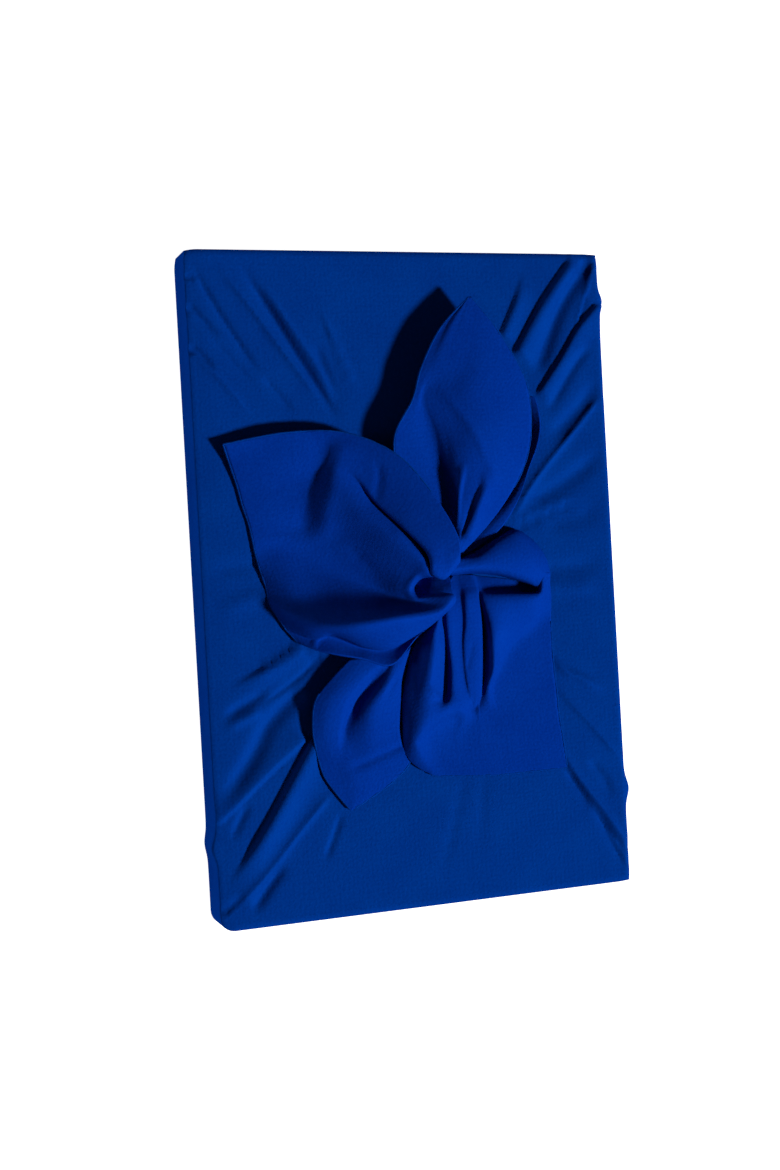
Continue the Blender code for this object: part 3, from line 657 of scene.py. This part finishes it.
def makeKnotLump(cloth):
    # the gathered heart of the tie, under the bands that show
    rings, segments = knotLump["rings"], knotLump["segments"]
    loops = []
    for ring in range(1, rings):
        polar = math.pi * ring / rings
        angle = np.arange(segments) * 2 * math.pi / segments
        turned = knotLump["pleats"] * angle + knotLump["pleatTwist"] * math.cos(polar)
        out = math.sin(polar) * (1.0 + knotLump["pleatDepth"] * math.sin(polar) * np.cos(turned))
        unit = np.stack([np.cos(angle) * out, np.sin(angle) * out, math.cos(polar) + 0 * angle], -1)
        points = unit * knotLump["size"] + knotLump["centre"] + np.array([0, 0, faceZ])
        loops.append(cloth.addPoints(points, points[:, :2]))
    for upper, lower in zip(loops, loops[1:]):
        cloth.addLoopFaces(lower, upper)
    cloth.faces.append(loops[0].tolist())
    cloth.faces.append(loops[-1][::-1].tolist())


cloth = Cloth()
makeBody(cloth)
makeInside(cloth)
makeHiddenFlaps(cloth)
makeKnotLump(cloth)
print("body:", cloth.count, "points")
ends = {}
for name, end in (
    ("left", leftEnd),
    ("strip", upperStrip),
    ("upper", upperEnd),
    ("right", rightEnd),
    ("band", rightBand),
    ("lower", lowerEnd),
    ("pocket", pocket),
):
    ends[name] = cloth.addThinSheet(surfaceGrid(end), end["thickness"], sheenWeaveStart)
wrapCloth = cloth.makeObject("wrapCloth")
print("free ends:", cloth.count, "points,", sum(len(face) - 2 for face in cloth.faces), "triangles")

# Rolled hems of the free ends. A run names an end and its rim: hem is the last row, first and
# last are the sides, and the shares say how much of the rim is open, from the knot outwards.
rolledHem = {
    "radius": 0.5,
    "leastScale": 0.85,
    "mostScale": 1.2,
    "sides": 7,
    "seed": 11,
    "runs": (
        ("left", "hem", 0.0, 1.0),
        ("left", "first", 0.45, 1.0),
        ("upper", "first", 0.3, 1.0),
        ("upper", "last", 0.3, 1.0),
        ("right", "hem", 0.12, 1.0),
        ("right", "last", 0.3, 1.0),
        ("lower", "first", 0.25, 1.0),
        ("lower", "last", 0.7, 1.0),
    ),
}


def hemLine(name, rim, low, high):
    grid = ends[name]
    line = {"hem": grid[-1], "first": grid[:, 0], "last": grid[:, -1]}[rim]
    steps = len(line) - 1
    return line[int(low * steps) : int(high * steps) + 1] * mm


def makeHemLines():
    points, edges = [], []
    for run in rolledHem["runs"]:
        line = hemLine(*run)
        edges += [(len(points) + step, len(points) + step + 1) for step in range(len(line) - 1)]
        points += line.tolist()
    mesh = bpy.data.meshes.new("hemLines")
    mesh.from_pydata(points, edges, [])
    obj = bpy.data.objects.new("hemLines", mesh)
    bpy.context.scene.collection.objects.link(obj)
    return obj


def makeHemTree():
    tree = bpy.data.node_groups.new("rolledHem", "GeometryNodeTree")
    tree.interface.new_socket(name="Geometry", in_out="INPUT", socket_type="NodeSocketGeometry")
    for name, kind in (
        ("Hem radius", "NodeSocketFloat"),
        ("Least scale", "NodeSocketFloat"),
        ("Most scale", "NodeSocketFloat"),
        ("Sides", "NodeSocketInt"),
        ("Seed", "NodeSocketInt"),
        ("Cloth", "NodeSocketMaterial"),
    ):
        tree.interface.new_socket(name=name, in_out="INPUT", socket_type=kind)
    tree.interface.new_socket(name="Geometry", in_out="OUTPUT", socket_type="NodeSocketGeometry")
    start, finish = tree.nodes.new("NodeGroupInput"), tree.nodes.new("NodeGroupOutput")
    line = tree.nodes.new("GeometryNodeMeshToCurve")
    circle = tree.nodes.new("GeometryNodeCurvePrimitiveCircle")
    uneven = tree.nodes.new("FunctionNodeRandomValue")
    uneven.data_type = "FLOAT"
    roll = tree.nodes.new("GeometryNodeCurveToMesh")
    roll.inputs["Fill Caps"].default_value = True
    place = tree.nodes.new("GeometryNodeInputPosition")
    weave = tree.nodes.new("GeometryNodeStoreNamedAttribute")
    weave.data_type, weave.domain = "FLOAT2", "CORNER"
    weave.inputs["Name"].default_value = "weave"
    realize = tree.nodes.new("GeometryNodeRealizeInstances")
    paint = tree.nodes.new("GeometryNodeSetMaterial")
    link = tree.links.new
    link(start.outputs["Geometry"], line.inputs["Mesh"])
    link(start.outputs["Sides"], circle.inputs["Resolution"])
    link(start.outputs["Hem radius"], circle.inputs["Radius"])
    link(start.outputs["Least scale"], uneven.inputs[2])
    link(start.outputs["Most scale"], uneven.inputs[3])
    link(start.outputs["Seed"], uneven.inputs["Seed"])
    link(line.outputs["Curve"], roll.inputs["Curve"])
    link(circle.outputs["Curve"], roll.inputs["Profile Curve"])
    link(uneven.outputs[1], roll.inputs["Scale"])
    link(roll.outputs["Mesh"], weave.inputs["Geometry"])
    link(place.outputs["Position"], weave.inputs["Value"])
    link(weave.outputs["Geometry"], realize.inputs["Geometry"])
    link(realize.outputs["Geometry"], paint.inputs["Geometry"])
    link(start.outputs["Cloth"], paint.inputs["Material"])
    link(paint.outputs["Geometry"], finish.inputs["Geometry"])
    return tree


def makeHems(material):
    obj, tree = makeHemLines(), makeHemTree()
    modifier = obj.modifiers.new("rolledHem", "NODES")
    modifier.node_group = tree
    values = {
        "Hem radius": rolledHem["radius"] * mm,
        "Least scale": rolledHem["leastScale"],
        "Most scale": rolledHem["mostScale"],
        "Sides": rolledHem["sides"],
        "Seed": rolledHem["seed"],
        "Cloth": material,
    }
    for item in tree.interface.items_tree:
        if item.in_out == "INPUT" and item.name in values:
            modifier[item.identifier] = values[item.name]
    graph = bpy.context.evaluated_depsgraph_get()
    mesh = bpy.data.meshes.new_from_object(obj.evaluated_get(graph))
    mesh.name = "rolledHems"
    mesh.polygons.foreach_set("use_smooth", np.ones(len(mesh.polygons), bool))
    bpy.data.objects.remove(obj)
    hems = bpy.data.objects.new("rolledHems", mesh)
    bpy.context.scene.collection.objects.link(hems)
    print("rolled hems:", len(mesh.polygons), "faces")
    return hems


class Wire:
    # a shader socket that takes +, - and *
    def __init__(self, maker, socket):
        self.maker, self.socket = maker, socket

    def join(self, operation, left, right):
        return self.maker.node("ShaderNodeMath", {"operation": operation}, {0: left, 1: right})["Value"]

    def __add__(self, other):
        return self.join("ADD", self, other)

    def __radd__(self, other):
        return self.join("ADD", other, self)

    def __sub__(self, other):
        return self.join("SUBTRACT", self, other)

    def __rsub__(self, other):
        return self.join("SUBTRACT", other, self)

    def __mul__(self, other):
        return self.join("MULTIPLY", self, other)

    def __rmul__(self, other):
        return self.join("MULTIPLY", other, self)


class Outputs:
    def __init__(self, maker, node):
        self.maker, self.node = maker, node

    def __getitem__(self, name):
        return Wire(self.maker, self.node.outputs[name])


class Finish:
    # one material and the nodes in it
    def __init__(self, name):
        self.material = bpy.data.materials.new(name)
        self.material.use_nodes = True
        self.tree = self.material.node_tree
        self.tree.nodes.clear()

    def node(self, kind, settings=None, sockets=None):
        made = self.tree.nodes.new(kind)
        for key, value in (settings or {}).items():
            setattr(made, key, value)
        for key, value in (sockets or {}).items():
            if isinstance(value, Wire):
                self.tree.links.new(value.socket, made.inputs[key])
            else:
                made.inputs[key].default_value = value
        return Outputs(self, made)

    def mix(self, factor, low, high):
        made = self.node("ShaderNodeMix", {"data_type": "RGBA"}, {"Factor": factor, 6: low, 7: high})
        return made[2]

    def noise(self, place, scale, detail, roughness=0.5):
        values = {"Vector": place, "Scale": scale, "Detail": detail, "Roughness": roughness}
        return self.node("ShaderNodeTexNoise", None, values)["Fac"]

    def surface(self, sockets):
        shader = self.node("ShaderNodeBsdfPrincipled", None, sockets)
        self.node("ShaderNodeOutputMaterial", None, {"Surface": shader["BSDF"]})
        return self.material


clothLook = {
    "colour": (0.0002, 0.034, 0.238, 1.0),
    "deepColour": (0.0002, 0.0225, 0.182, 1.0),
    # painted sheen: the free ends get a brighter, more violet pair of colours than the body, standing
    # in for the light they catch
    "endColour": (0.0004, 0.029, 0.262, 1.0),
    "endDeepColour": (0.0003, 0.019, 0.2, 1.0),
    "roughness": 0.6,
    "roughnessSpread": 0.2,
    "lustre": 0.1,
    "lustreTint": (0.0, 0.25, 0.9, 1.0),
    "grain": 2.4,
    "crepeScale": 800.0,
    "crepeShare": 1.1,
    "broadScale": 45.0,
    "broadTone": 0.35,
    "threadScale": 125.0,
    "threadWaver": 1.5,
    "threadShare": 0.12,
    "weaveBump": 0.00018,
    "weaveStrength": 0.8,
}


def threadBands(finish, weave, direction):
    settings = {"wave_type": "BANDS", "bands_direction": direction, "wave_profile": "SIN"}
    sockets = {
        "Vector": weave,
        "Scale": clothLook["threadScale"],
        "Distortion": clothLook["threadWaver"],
        "Detail": 2.0,
        "Detail Scale": 2.0,
    }
    return finish.node("ShaderNodeTexWave", settings, sockets)["Fac"]


def makeClothFinish():
    look = clothLook
    finish = Finish("blueCloth")
    weave = finish.node("ShaderNodeUVMap", {"uv_map": "weave"})["UV"]
    place = finish.node("ShaderNodeTexCoord")["Object"]
    crepe = finish.noise(place, look["crepeScale"], 2.0, 0.6)
    broad = finish.noise(place, look["broadScale"], 2.0)
    threads = threadBands(finish, weave, "X") * look["threadShare"]
    threads += threadBands(finish, weave, "Y") * look["threadShare"]
    sockets = {
        "Strength": look["weaveStrength"],
        "Distance": look["weaveBump"],
        "Height": threads + crepe * look["crepeShare"],
    }
    bump = finish.node("ShaderNodeBump", None, sockets)["Normal"]
    mottle = broad * look["broadTone"] + crepe * (1 - look["broadTone"])
    tone = (mottle - 0.5) * look["grain"] + 0.5
    weaveX = finish.node("ShaderNodeSeparateXYZ", None, {"Vector": weave})["X"]
    # painted sheen: the free ends take the brighter, more violet colours in place of the body's
    sheenMask = weaveX.join("GREATER_THAN", weaveX, sheenWeaveStart * mm / 2)
    bright = finish.mix(sheenMask, look["colour"], look["endColour"])
    deep = finish.mix(sheenMask, look["deepColour"], look["endDeepColour"])
    return finish.surface({
        "Base Color": finish.mix(tone, deep, bright),
        "Roughness": look["roughness"] + (crepe - 0.5) * look["roughnessSpread"],
        "Metallic": look["lustre"],
        "Specular IOR Level": 0.0,
        "Specular Tint": look["lustreTint"],
        "Normal": bump,
    })


cardLook = {
    "colour": (0.36, 0.3, 0.22, 1.0),
    "paleColour": (0.46, 0.4, 0.31, 1.0),
    "roughness": 0.85,
    "fibreScale": 600.0,
    "fibreBump": 0.0001,
    "fibreStrength": 0.2,
}


def makeCardFinish():
    look = cardLook
    finish = Finish("plainCard")
    place = finish.node("ShaderNodeTexCoord")["Object"]
    fibre = finish.noise(place, look["fibreScale"], 4.0)
    sockets = {"Strength": look["fibreStrength"], "Distance": look["fibreBump"], "Height": fibre}
    bump = finish.node("ShaderNodeBump", None, sockets)["Normal"]
    colour = finish.mix(fibre, look["colour"], look["paleColour"])
    return finish.surface({"Base Color": colour, "Roughness": look["roughness"], "Normal": bump})


clothFinish = makeClothFinish()
wrapCloth.data.materials.append(clothFinish)
rolledHems = makeHems(clothFinish)
frame["nodes"]["box"].data.materials.clear()
frame["nodes"]["box"].data.materials.append(makeCardFinish())
print("materials made")

studio = {
    "keyFrom": (0.92, -0.5, 0.75),
    "keyStrength": 5.1,
    "keySoftness": 7.0,
    "sideFrom": (-1.0, 0.05, 0.16),
    "sideStrength": 0.5,
    "sideSoftness": 12.0,
    "worldStrength": 0.04,
    "floorColour": (0.55, 0.55, 0.55, 1.0),
    "floorRoughness": 0.9,
    "floorGlow": 1.02,
    "floorSize": 6.0,
}


def aimAt(obj, place, target):
    obj.location = place
    obj.rotation_euler = (Vector(target) - Vector(place)).to_track_quat("-Z", "Y").to_euler()


def farLight(name):
    light = bpy.data.lights.new(name + "Light", "SUN")
    light.energy = studio[name + "Strength"]
    light.angle = math.radians(studio[name + "Softness"])
    obj = bpy.data.objects.new(name + "Light", light)
    bpy.context.scene.collection.objects.link(obj)
    aimAt(obj, Vector(studio[name + "From"]), (0, 0, 0))


def makeStudio():
    half = studio["floorSize"] / 2
    mesh = bpy.data.meshes.new("floor")
    corners = [(-half, -half, 0), (half, -half, 0), (half, half, 0), (-half, half, 0)]
    mesh.from_pydata(corners, [], [(0, 1, 2, 3)])
    floor = bpy.data.objects.new("floor", mesh)
    bpy.context.scene.collection.objects.link(floor)
    paper = Finish("palePaper")
    mesh.materials.append(paper.surface({
        "Base Color": studio["floorColour"],
        "Roughness": studio["floorRoughness"],
        "Emission Color": (1.0, 1.0, 1.0, 1.0),
        "Emission Strength": studio["floorGlow"],
    }))
    farLight("key")
    farLight("side")
    world = bpy.data.worlds.new("paleRoom")
    world.use_nodes = True
    background = world.node_tree.nodes["Background"]
    background.inputs["Color"].default_value = (1, 1, 1, 1)
    background.inputs["Strength"].default_value = studio["worldStrength"]
    bpy.context.scene.world = world
    bpy.context.scene.view_settings.view_transform = "Standard"


view = {
    "place": (-0.27612, 0.00437, 0.77361),
    "right": (0.94266, -0.05583, 0.32906),
    "down": (-0.0554, -0.99841, -0.01068),
    "forward": (0.32914, -0.00817, -0.94425),
    "focalPixels": 1610.0,
    "imageHeight": 1170.0,
    "sensor": 36.0,
}


def makeCamera():
    data = bpy.data.cameras.new("photoCamera")
    data.sensor_width = view["sensor"]
    data.lens = view["sensor"] * view["focalPixels"] / view["imageHeight"]
    camera = bpy.data.objects.new("photoCamera", data)
    bpy.context.scene.collection.objects.link(camera)
    right, up, back = Vector(view["right"]), -Vector(view["down"]), -Vector(view["forward"])
    turn = Matrix((right, up, back)).transposed().to_4x4()
    camera.matrix_world = Matrix.Translation(view["place"]) @ turn
    bpy.context.scene.camera = camera


makeStudio()
makeCamera()
print("studio and camera made")

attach(wrapCloth, "root")
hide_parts("cloth")
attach(rolledHems, "root")
